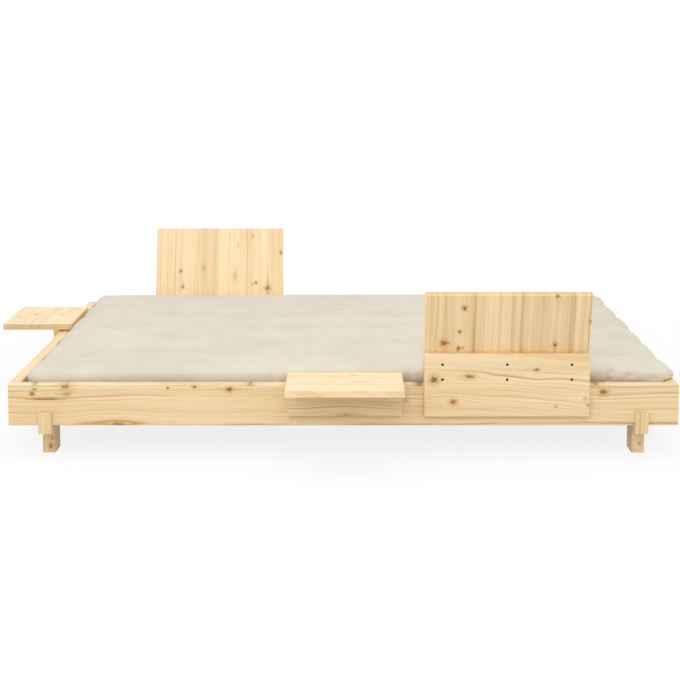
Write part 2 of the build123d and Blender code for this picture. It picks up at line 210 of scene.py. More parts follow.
def pine(name, node, grain, width, knots=(), pith=(-0.5, -0.12), tilt=(0.0, 0.0), spacing=0.0065,
         seed=0.0, contrast=1.0, tone=1.0, staves=(), wave=0.006, line=0.0028, lean=0.0):
    """Pine of one board: rings about a pith line, bent round knots, with fibre, tone bands and painted
    highlights along the edges.
    """
    low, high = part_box(node)
    middle = (low + high) / 2
    half = (high - low) / 2
    depth = ({"x", "y", "z"} - {grain, width}).pop()
    g = Graph(name)
    along_axis, width_axis, depth_axis = AXES[grain], AXES[width], AXES[depth]
    local = g.shift(g.point, tuple(middle))
    along = g.dot(local, along_axis)
    across = g.dot(local, width_axis)
    through = g.minus(g.dot(local, depth_axis), g.times(along, math.tan(math.radians(lean))))

    # slow waves of the fibre along the board
    wander = g.noise(g.join(g.plus(g.times(along, 2.2), seed), g.times(across, 5.0), seed * 0.7), 1.0, 2.0)
    wander = g.times(g.minus(wander, 0.5), wave)
    ripple = g.noise(g.join(g.plus(g.times(along, 9.0), seed), g.times(across, 24.0), seed), 1.0, 2.0)
    ripple = g.times(g.minus(ripple, 0.5), wave * 0.35)
    bent = g.plus(across, g.plus(wander, ripple))

    dark = None
    halo = None
    for knot in knots:
        du = g.minus(along, knot.along - middle[AXIS_INDEX[grain]])
        dv = g.minus(across, knot.across - middle[AXIS_INDEX[width]])
        spread = knot.radius * knot.reach
        fade_u = g.math("EXPONENT", g.times(g.times(du, du), -1 / (2 * (spread * 1.5) ** 2)))
        fade_v = g.math("EXPONENT", g.times(g.math("ABSOLUTE", dv), -1 / spread))
        side = g.over(dv, g.math("SQRT", g.plus(g.times(dv, dv), (knot.radius * 0.7) ** 2)))
        moved = g.times(g.times(fade_u, fade_v), g.times(side, knot.radius * knot.push))
        bent = g.minus(bent, moved)
        jag = g.noise(g.join(g.times(along, 160), g.times(across, 160), seed + knot.along), 1.0, 1.0)
        reach_u = g.times(du, 1 / (knot.radius * knot.stretch))
        reach_v = g.times(dv, 1 / knot.radius)
        ring = g.plus(g.size(reach_u, reach_v), g.times(g.minus(jag, 0.5), 1.7))
        core = g.times(g.smooth(ring, 1.45, 0.45), knot.dark)
        rim = g.times(g.smooth(ring, 3.2, 0.9), knot.dark * 0.7)
        if knot.tail:
            tail_v = g.times(dv, 1 / (knot.radius * 0.45))
            tail_u = g.times(g.minus(du, knot.tail * 0.5), 2 / abs(knot.tail))
            tail = g.smooth(g.size(tail_u, tail_v), 1.0, 0.2)
            rim = g.most(rim, g.times(tail, knot.dark * 0.6))
        dark = core if dark is None else g.most(dark, core)
        halo = rim if halo is None else g.most(halo, rim)

    # rings round a pith that may run askew through the board, wide ones with finer ones between
    pith_v = g.plus(g.times(along, tilt[0]), pith[0])
    pith_w = g.plus(g.times(along, tilt[1]), pith[1])
    radius = g.size(g.minus(bent, pith_v), g.minus(through, pith_w))
    uneven = g.noise(g.join(g.times(radius, 34.0), seed * 3.1, 0.0), 1.0, 2.0)
    spread_out = g.plus(radius, g.times(uneven, spacing * 2.0))
    fade = g.noise(g.join(g.times(along, 2.6), g.times(bent, 26.0), seed + 5), 1.0, 2.0)
    fade = g.smooth(fade, 0.32, 0.68, 0.12, 1.0)

    def rings(pitch, width_of_line, offset):
        count = g.times(spread_out, 1 / pitch)
        phase = g.math("FRACT", count)
        year = g.white(g.plus(g.math("FLOOR", count), seed + offset))
        share = min(width_of_line / pitch, 0.6)
        rise = g.smooth(phase, 1 - share * 2.2, 1 - share * 0.35)
        soft = g.power(phase, 2.6)
        drop = g.smooth(phase, 1.0, 1 - share * 0.3)
        shape = g.times(g.plus(g.times(rise, 0.75), g.times(soft, 0.3)), drop)
        return g.times(shape, g.plus(g.times(year, 0.85), 0.15))

    late = g.times(rings(spacing, line, 0.0), fade)
    fine = g.times(rings(spacing / 4.3, line * 0.5, 7.7), 0.5)
    late = g.most(late, fine)

    # colour
    deep = g.plus(g.times(through, 10.0), seed)
    broad = g.noise(g.join(g.times(along, 1.6), g.times(bent, 34.0), deep), 1.0, 3.0)
    base = g.mix(g.smooth(broad, 0.3, 0.75), EARLY_WOOD, MID_WOOD)
    colour = g.mix(g.times(late, 1.25 * contrast), base, LATE_WOOD)
    streak = g.noise(g.join(g.times(along, 7.0), g.times(across, 420.0), g.times(through, 420.0)), 1.0, 2.0)
    colour = g.mix(g.smooth(streak, 0.50, 0.78, 0.0, 0.22), colour, LATE_WOOD)
    if staves:
        place = g.math("ADD", g.times(across, 0.5 / half[AXIS_INDEX[width]]), 0.5, clamp=True)
        bands = g.ramp(place, [(at, (level, level ** 1.35, level ** 1.9)) for at, level in staves], "EASE")
        colour = g.mix(1.0, colour, bands, "MULTIPLY")
    if dark is not None:
        colour = g.mix(halo, colour, KNOT_EDGE)
        colour = g.mix(dark, colour, KNOT_HEART)

    # end grain is duller
    normal = g.add("ShaderNodeNewGeometry").outputs["Normal"]
    end = g.smooth(g.math("ABSOLUTE", g.dot(normal, along_axis)), 0.6, 0.95)
    colour = g.mix(g.times(end, 0.45), colour, LATE_WOOD)

    # painted highlight: the edges drawn slightly paler, in broken patches
    gap_u = g.minus(half[AXIS_INDEX[grain]], g.math("ABSOLUTE", along))
    gap_v = g.minus(half[AXIS_INDEX[width]], g.math("ABSOLUTE", across))
    gap_w = g.minus(half[AXIS_INDEX[depth]], g.math("ABSOLUTE", through))
    edge = g.most(g.least(gap_u, gap_v), g.least(g.most(gap_u, gap_v), gap_w))
    patch = g.noise(g.join(g.times(along, 14.0), g.times(across, 14.0), g.times(through, 14.0)), 1.0, 3.0)
    edge_highlight = g.times(g.smooth(edge, 0.0032, 0.0004), g.smooth(patch, 0.35, 0.65, 0.25, 1.0))
    # the pale colour of the painted edge highlight
    colour = g.mix(g.times(edge_highlight, 0.35), colour, linear(255, 238, 206))
    if tone != 1.0:
        colour = g.mix(1.0, colour, (tone, tone, tone, 1.0), "MULTIPLY")

    rough = g.smooth(streak, 0.3, 0.8, 0.38, 0.52)
    rough = g.minus(rough, g.times(late, 0.06))
    rough = g.plus(rough, g.times(end, 0.15))
    relief = g.plus(g.times(late, 0.5), g.times(streak, 0.5))
    if dark is not None:
        relief = g.minus(relief, g.times(dark, 0.5))
    normal = g.bump(relief, 0.35, 0.0006)
    return g.finish(colour, rough, normal, Specular_IOR_Level=0.5)


def give(node, material):
    """Put a material in every slot of a carried-over node."""
    mesh = NODES[node].data
    if not mesh.materials:
        mesh.materials.append(material)
    for index in range(len(mesh.materials)):
        mesh.materials[index] = material


# The long rails: horizontal grain with knots at the left end and a low arch of rings near the left leg
front_rail_knots = [
    Knot(-0.9598, 0.1975, 0.0052, 1.2, 0.8),
    Knot(-0.9509, 0.2117, 0.0036, 1.6, 0.6),
    Knot(-0.9520, 0.2270, 0.0030, 2.0, 0.45),
    Knot(-0.8561, 0.2203, 0.0060, 2.2, 0.62, 3.5, 1.0),
    Knot(-0.9150, 0.1810, 0.0024, 18.0, 0.85, 6.0, 0.9),
    Knot(-0.8540, 0.1971, 0.0080, 1.6, 0.30, 3.5, 1.0),
    Knot(-0.6957, 0.1000, 0.0085, 2.2, 0.62, 7.0, 2.6),
    Knot(-0.5414, 0.2154, 0.0030, 1.2, 0.80),
    Knot(-0.4590, 0.2203, 0.0036, 1.6, 0.75),
    Knot(-0.3513, 0.2110, 0.0056, 1.3, 0.85),
    Knot(-0.2874, 0.2265, 0.0030, 2.6, 0.65),
    Knot(0.1924, 0.1752, 0.0060, 1.5, 0.25),
    Knot(0.2330, 0.2262, 0.0036, 3.0, 0.85),
    Knot(0.8006, 0.2030, 0.0075, 1.5, 0.80, 4.0, 1.1),
    Knot(0.7784, 0.2265, 0.0036, 2.6, 0.55),
]
give("front_rail", pine("front_rail_pine", "front_rail", "x", "z", front_rail_knots,
                        pith=(0.21, -0.05), tilt=(0.004, 0.0), spacing=0.0165, seed=3.7, wave=0.022))
back_rail_knots = [
    Knot(-0.72, 0.185, 0.0070, 1.4, 0.75), Knot(0.15, 0.140, 0.0050, 1.3, 0.70),
    Knot(0.42, 0.205, 0.0035, 1.5, 0.80), Knot(0.86, 0.100, 0.0080, 2.0, 0.60, 7.0, 2.4),
]
give("back_rail", pine("back_rail_pine", "back_rail", "x", "z", back_rail_knots,
                       pith=(-0.19, 0.05), tilt=(-0.006, 0.0), spacing=0.017, seed=11.3, wave=0.020))
left_rail_knots = [Knot(-0.38, 0.150, 0.0065, 1.4, 0.75), Knot(0.31, 0.195, 0.0042, 1.6, 0.80)]
give("left_end_rail", pine("left_rail_pine", "left_end_rail", "y", "z", left_rail_knots,
                           pith=(0.19, 0.05), tilt=(0.008, 0.0), spacing=0.016, seed=5.9, wave=0.016))
right_rail_knots = [
    Knot(-0.52, 0.205, 0.0050, 1.4, 0.80), Knot(0.02, 0.130, 0.0075, 1.5, 0.70),
    Knot(0.47, 0.175, 0.0036, 1.4, 0.75),
]
give("right_end_rail", pine("right_rail_pine", "right_end_rail", "y", "z", right_rail_knots,
                            pith=(-0.18, -0.05), tilt=(-0.01, 0.0), spacing=0.017, seed=8.2, wave=0.016))

# The legs stand on end, so their grain runs up
leg_knots = {
    "front_left_leg": [Knot(0.0209, -0.9133, 0.0055, 1.3, 0.7), Knot(0.046, -0.9070, 0.0030, 1.6, 0.5)],
    "front_right_leg": [Knot(0.030, 0.9240, 0.0036, 1.4, 0.4)],
    "back_left_leg": [Knot(0.062, -0.9160, 0.0040, 1.3, 0.6)],
    "back_right_leg": [Knot(0.018, 0.9100, 0.0045, 1.3, 0.6)],
}
for index, (leg, knots) in enumerate(leg_knots.items()):
    give(leg, pine(f"{leg}_pine", leg, "z", "x", knots, pith=(0.05, -0.06), tilt=(0.02, 0.0),
                   spacing=0.005, seed=21.0 + 3.3 * index, wave=0.003))

# The parts under the slats
give("front_ledger", pine("front_ledger_pine", "front_ledger", "x", "z", pith=(-0.08, 0.05), seed=31.0))
give("back_ledger", pine("back_ledger_pine", "back_ledger", "x", "z", pith=(0.08, -0.05), seed=33.0))
beam_knots = [Knot(-0.41, 0.118, 0.0050, 1.4, 0.7), Knot(0.55, 0.110, 0.0060, 1.4, 0.7)]
give("centre_beam", pine("centre_beam_pine", "centre_beam", "x", "z", beam_knots,
                         pith=(-0.07, 0.06), seed=35.0))
give("centre_leg", pine("centre_leg_pine", "centre_leg", "z", "x", pith=(0.06, -0.05), seed=37.0, wave=0.003))


def slat_pine():
    """Rough-planed slats: one wood whose rings and tone change from slat to slat by their place."""
    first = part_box("slat_01")[0][0]
    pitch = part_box("slat_02")[0][0] - first
    g = Graph("slat_pine_each")
    x = g.dot(g.point, AXES["x"])
    y = g.dot(g.point, AXES["y"])
    z = g.dot(g.point, AXES["z"])
    counted = g.times(g.minus(x, first - 0.004), 1 / pitch)
    number = g.math("FLOOR", counted)
    local = g.times(g.minus(g.math("FRACT", counted), 0.5), pitch)
    chance = g.white(g.plus(number, 4.2))
    slow = g.noise(g.join(g.times(x, 5.0), g.times(y, 1.7), number), 1.0, 2.0)
    pith = g.minus(g.times(chance, 0.12), 0.06)
    radius = g.size(g.minus(g.plus(local, g.times(g.minus(slow, 0.5), 0.02)), pith), g.minus(z, 0.08))
    count = g.times(radius, 1 / 0.0048)
    phase = g.math("FRACT", count)
    year = g.white(g.plus(g.math("FLOOR", count), g.times(number, 17.0)))
    late = g.times(g.times(g.power(phase, 3.0), g.smooth(phase, 1.0, 0.92)), g.plus(g.times(year, 0.8), 0.2))
    base = g.mix(g.smooth(g.plus(g.times(chance, 0.6), g.times(slow, 0.5)), 0.2, 0.9), EARLY_WOOD, MID_WOOD)
    colour = g.mix(g.times(late, 0.8), base, LATE_WOOD)
    spots = g.add("ShaderNodeTexVoronoi", feature="F1")
    g.feed(spots.inputs["Vector"], g.join(g.times(x, 9.0), g.times(y, 3.0), number))
    spots.inputs["Scale"].default_value = 1.0
    knot = g.smooth(spots.outputs["Distance"], 0.085, 0.03)
    colour = g.mix(g.times(knot, 0.8), colour, KNOT_HEART)
    streak = g.noise(g.join(g.times(x, 400.0), g.times(y, 7.0), g.times(z, 400.0)), 1.0, 2.0)
    rough = g.smooth(streak, 0.3, 0.8, 0.52, 0.7)
    normal = g.bump(g.plus(g.times(late, 0.4), g.times(streak, 0.6)), 0.4, 0.0007)
    return g.finish(colour, rough, normal, Specular_IOR_Level=0.4)


slat_material = slat_pine()
for node in NODES:
    if node.startswith("slat_"):
        give(node, slat_material)

# The leaning panels: edge-glued staves with upright grain, each band with its own tone
near_knots = [
    Knot(0.4729, 0.3681, 0.0052, 1.2, 0.85, 3.5, 1.1),
    Knot(0.3579, 0.3075, 0.0085, 1.0, 0.80, 3.5, 1.2, tail=-0.04),
    Knot(0.3579, 0.3200, 0.0040, 0.8, 0.60),
    Knot(0.3957, 0.3554, 0.0040, 1.2, 0.85, tail=-0.03),
    Knot(0.3398, 0.3530, 0.0046, 1.2, 0.85),
    Knot(0.3427, 0.3662, 0.0030, 1.2, 0.60),
    Knot(0.5130, 0.6481, 0.0040, 1.2, 0.80),
    Knot(0.3523, 0.6489, 0.0048, 1.2, 0.85, 4.0, 1.1, tail=-0.035),
    Knot(0.4293, 0.7540, 0.0036, 1.4, 0.80),
    Knot(0.3000, 0.5020, 0.0160, 7.0, 0.0, 1.3, 0.9),
]
near_bands = [
    (0.00, 1.00), (0.05, 0.93), (0.10, 1.00), (0.16, 0.95), (0.21, 1.02), (0.29, 0.93), (0.35, 0.98),
    (0.42, 1.06), (0.45, 0.96), (0.50, 1.02), (0.53, 0.86), (0.56, 1.00), (0.585, 0.88), (0.62, 0.94),
    (0.72, 0.92), (0.79, 0.99), (0.84, 0.96), (0.895, 0.82), (0.915, 1.06), (0.94, 0.93), (0.97, 1.02),
]
give("front_backrest_panel", pine("front_panel_pine", "front_backrest_panel", "z", "x", near_knots,
                                  pith=(-0.46, -0.04), spacing=0.021, seed=41.0,
                                  contrast=0.8, staves=near_bands, wave=0.006, lean=-18.0))
far_knots = [
    Knot(0.3564, -0.6585, 0.0040, 1.2, 0.85, tail=0.06),
    Knot(0.2957, -0.6491, 0.0044, 1.2, 0.85, tail=0.03),
    Knot(0.3695, -0.5667, 0.0060, 2.2, 0.28, 4.0, 1.6),
    Knot(0.3383, -0.4398, 0.0080, 2.0, 0.22),
    Knot(0.3110, -0.3545, 0.0036, 1.3, 0.80),
    Knot(0.3061, -0.3690, 0.0030, 1.2, 0.55),
    Knot(0.2904, -0.3074, 0.0085, 1.0, 0.75, 3.5, 1.2, tail=0.045),
    Knot(0.4287, -0.2560, 0.0040, 1.4, 0.70),
    Knot(0.4941, -0.3706, 0.0030, 2.4, 0.45),
    Knot(0.4559, -0.4279, 0.0036, 2.0, 0.30),
    Knot(0.2500, -0.4960, 0.0150, 12.0, 0.0, 1.3, 0.9),
]
far_bands = [
    (0.00, 1.00), (0.03, 0.98), (0.06, 1.02), (0.085, 0.93), (0.12, 1.00), (0.20, 0.97), (0.32, 0.98),
    (0.40, 0.90), (0.42, 0.95), (0.455, 0.86), (0.48, 0.93), (0.505, 1.00), (0.56, 1.05), (0.60, 1.00),
    (0.68, 0.98), (0.75, 0.93), (0.80, 1.00), (0.84, 1.05), (0.88, 0.97), (0.93, 0.93), (1.00, 0.97),
]
give("back_backrest_panel", pine("back_panel_pine", "back_backrest_panel", "z", "x", far_knots,
                                 pith=(0.44, 0.04), spacing=0.023, seed=47.0,
                                 contrast=0.7, staves=far_bands, wave=0.006, lean=18.0))

# The boards outside the rails
near_board_knots = [
    Knot(0.2784, 0.2463, 0.0092, 1.0, 0.85, 3.4, 2.0),
    Knot(0.3877, 0.2567, 0.0048, 2.6, 0.70, 6.0, 2.6),
    Knot(0.3364, 0.1775, 0.0072, 1.1, 0.75, 3.6, 1.6),
    Knot(0.5919, 0.2779, 0.0036, 1.5, 0.80, 5.0, 2.6),
    Knot(0.5900, 0.2640, 0.0110, 3.2, 0.0, 2.0, 1.3),
    Knot(0.6518, 0.1634, 0.0028, 1.1, 0.65),
    Knot(0.7424, 0.1870, 0.0040, 1.3, 0.30),
    Knot(0.7510, 0.1671, 0.0040, 1.3, 0.35),
]
give("front_backrest_board", pine("front_board_pine", "front_backrest_board", "x", "z", near_board_knots,
                                  pith=(0.21, -0.04), tilt=(-0.06, 0.0), spacing=0.021, seed=53.0, wave=0.026,
                                  line=0.0036))
back_board_knots = [
    Knot(-0.62, 0.205, 0.0070, 1.4, 0.8), Knot(-0.41, 0.165, 0.0040, 1.3, 0.7),
    Knot(-0.31, 0.288, 0.0036, 1.6, 0.7),
]
give("back_backrest_board", pine("back_board_pine", "back_backrest_board", "x", "z", back_board_knots,
                                 pith=(-0.18, 0.04), tilt=(0.05, 0.0), spacing=0.026, seed=57.0, wave=0.018))
for side, depth_of_pith, wedge_seed in (("front", 0.03, 61.0), ("back", -0.03, 63.0)):
    give(f"{side}_backrest_wedge", pine(f"{side}_wedge_pine", f"{side}_backrest_wedge", "x", "z",
                                        pith=(-0.10, depth_of_pith), seed=wedge_seed))

# The side tables
front_top_knots = [
    Knot(-0.0318, -0.7554, 0.0045, 2.0, 0.35), Knot(0.0323, -0.7372, 0.0050, 2.0, 0.35),
    Knot(0.0498, -0.8254, 0.0110, 2.0, 0.18), Knot(-0.0344, -0.8173, 0.0080, 1.6, 0.12),
]
give("front_table_top", pine("front_top_pine", "front_table_top", "x", "y", front_top_knots,
                             pith=(0.30, -0.05), tilt=(0.04, 0.0), spacing=0.024, seed=67.0,
                             contrast=0.55, wave=0.012))
apron_knots = [Knot(0.0078, 0.1290, 0.0080, 2.4, 0.60, 6.0, 2.4)]
give("front_table_apron", pine("front_apron_pine", "front_table_apron", "x", "z", apron_knots,
                               pith=(-0.18, 0.05), spacing=0.0125, seed=71.0, wave=0.008))
left_top_knots = [
    Knot(0.2437, -1.2072, 0.0060, 1.6, 0.25), Knot(0.3059, -1.1563, 0.0070, 1.6, 0.32),
    Knot(0.3059, -1.0621, 0.0060, 1.6, 0.30), Knot(0.3900, -1.1000, 0.0050, 1.4, 0.45),
]
give("left_table_top", pine("left_top_pine", "left_table_top", "y", "x", left_top_knots,
                            pith=(0.28, -0.05), tilt=(0.05, 0.0), spacing=0.024, seed=73.0,
                            contrast=0.55, wave=0.012))
left_apron_knots = [Knot(0.36, 0.190, 0.0050, 1.4, 0.7)]
give("left_table_apron", pine("left_apron_pine", "left_table_apron", "y", "z", left_apron_knots,
                              pith=(0.17, 0.05), spacing=0.0125, seed=79.0, wave=0.008))
for side, along, across in (("front", "x", "y"), ("left", "y", "x")):
    give(f"{side}_table_cleat", pine(f"{side}_cleat_pine", f"{side}_table_cleat", along, "z",
                                     pith=(-0.12, 0.02), seed=83.0))
    give(f"{side}_table_spacers", pine(f"{side}_spacer_pine", f"{side}_table_spacers", along, across,
                                       pith=(-0.06, 0.04), seed=89.0, wave=0.002))


def beech():
    """Fluted-dowel beech: pale pink-brown with short dark flecks."""
    g = Graph("beech_dowel_wood")
    scales = (("x", 900.0), ("y", 900.0), ("z", 160.0))
    stretched = [g.times(g.dot(g.point, AXES[axis]), scale) for axis, scale in scales]
    fleck = g.noise(g.join(*stretched), 1.0, 2.0)
    colour = g.mix(g.smooth(fleck, 0.55, 0.7), linear(222, 182, 138), linear(176, 126, 82))
    return g.finish(colour, g.smooth(fleck, 0.3, 0.7, 0.5, 0.65), g.bump(fleck, 0.3, 0.0003))


def steel(name, pale, deep, metallic, smooth_at, rough_at):
    """A coated steel with fine draw lines and a little handling wear."""
    g = Graph(name)
    grime = g.noise(g.point, 55.0, 4.0, 0.6)
    fine = g.noise(g.point, 900.0, 2.0)
    colour = g.mix(g.smooth(grime, 0.35, 0.7), pale, deep)
    rough = g.plus(g.smooth(grime, 0.3, 0.7, smooth_at, rough_at), g.times(g.minus(fine, 0.5), 0.12))
    return g.finish(colour, rough, g.bump(fine, 0.2, 0.0002), Metallic=metallic)


def webbing():
    """Flat woven strap: a twill of cream cotton yarns."""
    g = Graph("strap_webbing")
    x = g.dot(g.point, AXES["x"])
    y = g.dot(g.point, AXES["y"])
    warp = g.math("SINE", g.times(g.plus(x, y), 2 * math.pi / 0.0026))
    weft = g.math("SINE", g.times(g.minus(x, y), 2 * math.pi / 0.0026))
    weave = g.times(g.plus(warp, weft), 0.5)
    slub = g.noise(g.join(g.times(x, 60.0), g.times(y, 500.0), 0.0), 1.0, 2.0)
    colour = g.mix(g.smooth(weave, -0.8, 0.8), linear(196, 184, 158), linear(233, 226, 207))
    colour = g.mix(g.smooth(slub, 0.5, 0.8, 0.0, 0.4), colour, linear(205, 192, 165))
    rough = g.smooth(slub, 0.3, 0.7, 0.8, 0.95)
    return g.finish(colour, rough, g.bump(weave, 0.6, 0.0005), Sheen_Weight=0.15)


zinc = steel("zinc_plated_steel", linear(196, 199, 203), linear(150, 152, 155), 1.0, 0.28, 0.5)
black = steel("black_oxide_steel", linear(44, 32, 22), linear(26, 20, 15), 0.2, 0.45, 0.65)
strap = webbing()
dowel = beech()
for node in ("centre_leg_dowel", "front_table_dowels", "left_table_dowels"):
    give(node, dowel)
for node in ("frame_screws", "bracket_screws", "left_beam_hanger", "right_beam_hanger"):
    give(node, zinc)
for side in ("front", "back"):
    for end in ("left", "right"):
        give(f"{side}_{end}_bracket", zinc)
    give(f"{side}_backrest_screws", black)
    give(f"{side}_slat_strap", strap)


# The futon: a sewn cotton case, stuffed loosely and tied through at staggered tufts
FOOT = 0.1582
TOP = 0.2676
CREST = 0.2762
LOW_WIDEST = 0.233
HIGH_WIDEST = 0.247
FUTON_LEFT = -0.9878
FUTON_RIGHT = 1.0265
FUTON_HALF_WIDTH = 0.6930
CORNER = 0.036
SHOULDER = 0.050
RAIL_TOP = 0.228
TUFT_PITCH_X = 0.409
TUFT_PITCH_Y = 0.245
TUFT_CENTRE_X = 0.029
STEP = 0.0125
SIDE_LEVELS = [(0.09, 0.0), (0.17, 0.0005), (0.24, 0.0015), (0.34, 0.003), (0.46, 0.005), (0.58, 0.008),
               (0.70, 0.012), (0.82, 0.016), (0.92, 0.021), (1.00, 0.028)]
CASE_CENTRE = (FUTON_LEFT + FUTON_RIGHT) / 2
CASE_HALF = (FUTON_RIGHT - FUTON_LEFT) / 2

tuft_places = []
for row in range(-2, 3):
    odd = row % 2
    for column in range(-2, 3 - odd):
        tuft_places.append((TUFT_CENTRE_X + (column + 0.5 * odd) * TUFT_PITCH_X, row * TUFT_PITCH_Y))
TUFTS = np.array(tuft_places)


def hashed(a, b, seed):
    """Repeatable values between -1 and 1 on whole-number places."""
    value = np.sin(a * 127.1 + b * 311.7 + seed * 74.7) * 43758.5453
    return 2 * (value - np.floor(value)) - 1


def field(x, y, seed):
    """Smooth repeatable noise over the plane, with a cell of one unit."""
    cx, cy = np.floor(x), np.floor(y)
    fx, fy = x - cx, y - cy
    fx = fx * fx * (3 - 2 * fx)
    fy = fy * fy * (3 - 2 * fy)
    near = hashed(cx, cy, seed) * (1 - fx) + hashed(cx + 1, cy, seed) * fx
    far = hashed(cx, cy + 1, seed) * (1 - fx) + hashed(cx + 1, cy + 1, seed) * fx
    return near * (1 - fy) + far * fy


def eased(value, low, high):
    """Zero up to low, one from high, with a smooth step between."""
    share = np.clip((value - low) / (high - low), 0, 1)
    return share * share * (3 - 2 * share)


def bell(value, width):
    return np.exp(-(value / width) ** 2)


def grid_lines(low, high, step, shoulder):
    """Even lines between two ends that draw together over the rounded shoulder at each end."""
    turns = np.radians(np.array([0, 20, 38, 54, 68, 80]))
    bend = shoulder * (1 - np.cos(turns))
    bend = bend / bend[-1] * shoulder * 0.86
    inner_low, inner_high = low + shoulder, high - shoulder
    count = int(round((inner_high - inner_low) / step))
    middle = np.linspace(inner_low, inner_high, count + 1)
    return np.concatenate([low + bend, middle, (high - bend)[::-1]])


def corner_shares(x, y):
    """How far a point lies into the corner squares, from 0 at their inner edges to 1 at the outline."""
    share_x = np.clip((np.abs(x - CASE_CENTRE) - (CASE_HALF - CORNER)) / CORNER, 0, 1)
    share_y = np.clip((np.abs(y) - (FUTON_HALF_WIDTH - CORNER)) / CORNER, 0, 1)
    return share_x, share_y


def rounded(x, y):
    """Carry a rectangle's grid onto the same rectangle with rounded corners."""
    ax, ay = corner_shares(x, y)
    both = (ax > 0) & (ay > 0)
    bx = CASE_HALF - CORNER + ax * np.sqrt(1 - ay * ay / 2) * CORNER
    by = FUTON_HALF_WIDTH - CORNER + ay * np.sqrt(1 - ax * ax / 2) * CORNER
    turned_x = np.where(both, CASE_CENTRE + np.sign(x - CASE_CENTRE) * bx, x)
    return turned_x, np.where(both, np.sign(y) * by, y)


def inset_of(x, y):
    """How far inside the rounded outline a point lies."""
    qx = np.abs(x - CASE_CENTRE) - (CASE_HALF - CORNER)
    qy = np.abs(y) - (FUTON_HALF_WIDTH - CORNER)
    outside = np.hypot(np.maximum(qx, 0), np.maximum(qy, 0)) + np.minimum(np.maximum(qx, qy), 0)
    return CORNER - outside


def widest_at(x):
    """The height of the fullest line round the case, which climbs towards the right end."""
    return LOW_WIDEST + (HIGH_WIDEST - LOW_WIDEST) * eased(x, -0.98, -0.55)


def tuft_distance(x, y):
    """How far each point is from its nearest tuft."""
    return np.hypot(x[:, None] - TUFTS[None, :, 0], y[:, None] - TUFTS[None, :, 1]).min(axis=1)


def futon_mesh():
    """The case before it is stuffed: a top with its shoulders and its sides down to the foot."""
    lines_x = grid_lines(FUTON_LEFT, FUTON_RIGHT, STEP, SHOULDER)
    lines_y = grid_lines(-FUTON_HALF_WIDTH, FUTON_HALF_WIDTH, STEP, SHOULDER)
    nx, ny = len(lines_x), len(lines_y)
    gx, gy = np.meshgrid(lines_x, lines_y, indexing="ij")
    x, y = rounded(gx.ravel(), gy.ravel())
    share = np.clip(inset_of(x, y) / SHOULDER, 0, 1)
    widest = widest_at(x)
    z = widest + (TOP - widest) * np.sqrt(np.clip(1 - (1 - share) ** 2, 0, 1))
    verts = [np.stack([x, y, z], axis=1)]
    index = np.arange(nx * ny).reshape(nx, ny)
    corners = [index[:-1, :-1], index[1:, :-1], index[1:, 1:], index[:-1, 1:]]
    faces = [np.stack(corners, axis=-1).reshape(-1, 4)]
    ring = np.concatenate([index[:, 0], index[-1, 1:], index[-2::-1, -1], index[0, -2:0:-1]])
    outline = verts[0][ring]
    ax, ay = corner_shares(outline[:, 0], outline[:, 1])
    outward = np.column_stack([ax * np.sign(outline[:, 0] - CASE_CENTRE), ay * np.sign(outline[:, 1])])
    outward /= np.linalg.norm(outward, axis=1, keepdims=True)
    count = nx * ny
    previous = ring
    after = np.roll(np.arange(len(ring)), -1)
    for down, inset in SIDE_LEVELS:
        flat = outline[:, :2] - outward * inset
        height = outline[:, 2] + (FOOT - outline[:, 2]) * down
        verts.append(np.column_stack([flat, height]))
        current = np.arange(count, count + len(ring))
        count += len(ring)
        faces.append(np.stack([previous, current, current[after], previous[after]], axis=1))
        previous = current
    return np.concatenate(verts), np.concatenate(faces), previous, nx * ny


def build_object(name, verts, faces, material):
    mesh = bpy.data.meshes.new(name)
    mesh.from_pydata([tuple(v) for v in verts], [], [tuple(int(i) for i in f) for f in faces])
    mesh.update()
    mesh.materials.append(material)
    obj = bpy.data.objects.new(name, mesh)
    bpy.context.scene.collection.objects.link(obj)
    return obj


def sewn_form(verts):
    """The loose form that the tufts and the stuffing give the case, before the cloth is let go."""
    x, y, z = verts[:, 0], verts[:, 1], verts[:, 2]
    gap = tuft_distance(x, y)
    upper = eased(z, 0.225, 0.262)
    inside = np.clip(inset_of(x, y) / 0.10, 0, 1)
    dimple = 0.0095 * bell(gap, 0.038) + 0.0060 * bell(gap, 0.085)
    swell = 0.0022 * field(x * 4.0, y * 5.0, 2.0) + 0.0010 * field(x * 11.0, y * 13.0, 5.0)
    z = z + upper * (inside * (0.0022 + swell) - dimple)
    return np.stack([x, y, z], axis=1)


def panel_face(height):
    """How far out a leaning backrest lets the futon's front or back reach at a height."""
    return 0.6787 + (height - RAIL_TOP) * 0.3249 - 0.0016


def reach_allowed(x, z):
    """How far the fabric may reach to the front and to the back at a place along the bed and a height."""
    upright = np.minimum(panel_face(z), panel_face(RAIL_TOP))
    front_free = 1 - eased(x, 0.1500, 0.2150) * (1 - eased(x, 0.9000, 0.9900))
    back_free = eased(np.abs(x), 0.9010, 0.9750)
    return upright + (0.6935 - upright) * front_free, upright + (0.6935 - upright) * back_free


def drawn_in(verts):
    """Press the front and back shoulders softly into the space between the backrests' tracks."""
    x, y, z = verts[:, 0], verts[:, 1], verts[:, 2]
    front, back = reach_allowed(x, z)
    limit = np.where(y < 0, front, back)
    start = limit - 0.05
    squeeze = 0.05 / (0.05 + np.maximum(0.6935 - limit, 0))
    size = np.abs(y)
    size = np.where(size > start, start + (size - start) * squeeze, size)
    return np.stack([x, np.sign(y) * size, z], axis=1)


